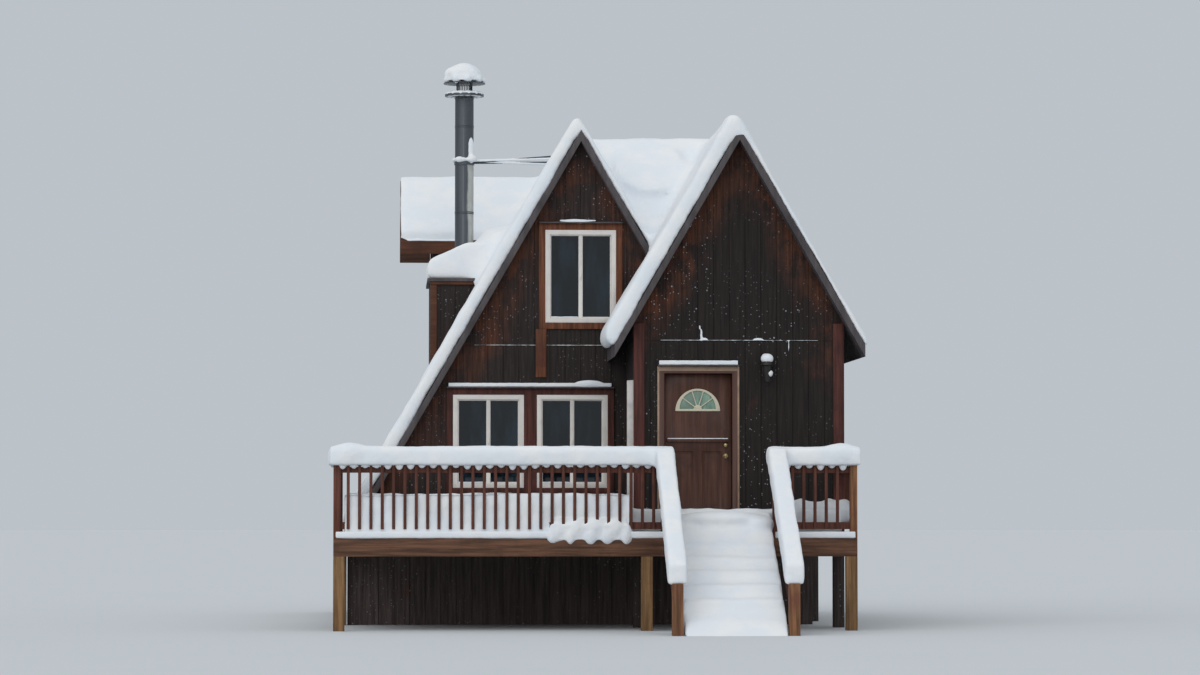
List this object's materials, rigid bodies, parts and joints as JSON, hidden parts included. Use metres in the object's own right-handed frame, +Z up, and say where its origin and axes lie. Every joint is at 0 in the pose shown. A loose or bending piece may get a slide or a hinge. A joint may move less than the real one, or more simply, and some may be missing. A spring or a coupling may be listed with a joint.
{
  "type": "alpine chalet",
  "caption": "Snow-covered A-frame mountain cabin with a gabled entry wing on posts, side dormers, flue pipe, raised deck with railings and a stair.",
  "frame": {"origin": "on the ground under the front wall's outer face, on the centreline of the A-frame", "axes": "+X to the right as seen from the front, +Y to the back, +Z up"},
  "size_m": [6.9031, 12.666, 7.617],
  "materials": {
    "dark_siding": "weathered dark stain on grooved plywood siding",
    "red_trim": "red-brown stain, worn",
    "roof_deck": "grey weathered rake boards and roof deck",
    "floor_wood": "satin boards",
    "white_frame": "satin white window frames",
    "window_glass": "clear glass over a dark room",
    "cream_frame": "beige paint, satin",
    "door_wood": "red-brown varnish",
    "fan_glass": "green-tinted obscure glass",
    "knob_brass": "aged",
    "hinge_steel": "dull steel",
    "lantern_metal": "black paint, satin",
    "pipe_steel": "dull weathered flue pipe",
    "post_wood": "tan treated posts",
    "rim_wood": "orange-brown stained boards",
    "rail_wood": "red-brown stained railing",
    "snow": "settled powder snow, soft and rough"
  },
  "bodies": {
    "house": {"skirt_ends": "dark_siding", "skirt_sides": "dark_siding", "main_floor": "floor_wood", "entry_floor": "floor_wood", "loft_floor": "floor_wood", "front_wall": "dark_siding", "back_wall": "dark_siding", "entry_front_left": "dark_siding", "entry_front_right": "dark_siding", "entry_gable": "dark_siding", "entry_side_left": "dark_siding", "entry_side_right": "dark_siding", "entry_back_wall": "dark_siding", "main_roof_left": "roof_deck", "main_roof_right": "roof_deck", "entry_roof_left": "roof_deck", "entry_roof_right": "roof_deck", "saddle_roof": "roof_deck", "rear_dormer_walls": "dark_siding", "rear_dormer_roof": "roof_deck", "front_dormer_walls": "dark_siding", "front_dormer_roof": "roof_deck", "rake_boards": "roof_deck", "corner_boards": "red_trim", "window_frames": "white_frame", "window_glass": "window_glass", "window_trim": "red_trim", "drip_caps": "red_trim", "chimney_pipe": "pipe_steel", "chimney_cap": "pipe_steel", "chimney_braces": "pipe_steel", "door_frame": "cream_frame", "door_hinges": "hinge_steel", "porch_light": "lantern_metal", "house_posts": "dark_siding", "deck_posts": "post_wood", "deck_joists": "rim_wood", "deck_rim": "rim_wood", "deck_boards": "rim_wood", "rail_front_left": "rail_wood", "rail_front_right": "rail_wood", "rail_sides": "rail_wood", "stair_stringers": "rim_wood", "stair_treads": "rim_wood", "stair_rails": "rail_wood", "snow_main_roof": "snow", "snow_entry_roof": "snow", "snow_saddle": "snow", "snow_dormers": "snow", "snow_chimney": "snow", "snow_rails": "snow", "snow_deck": "snow", "snow_stairs": "snow"},
    "door": {"door_leaf": "door_wood", "door_hinge_leaves": "hinge_steel", "door_fanlight": "cream_frame", "door_glass": "fan_glass", "door_knob": "knob_brass"}
  },
  "joints": [
    {"name": "door_swing", "type": "hinge", "parent": "house", "child": "door", "pos_m": [0.997, -1.342, 1.256], "axis": [0, 0, 1], "range_deg": [0, 95]}
  ]
}
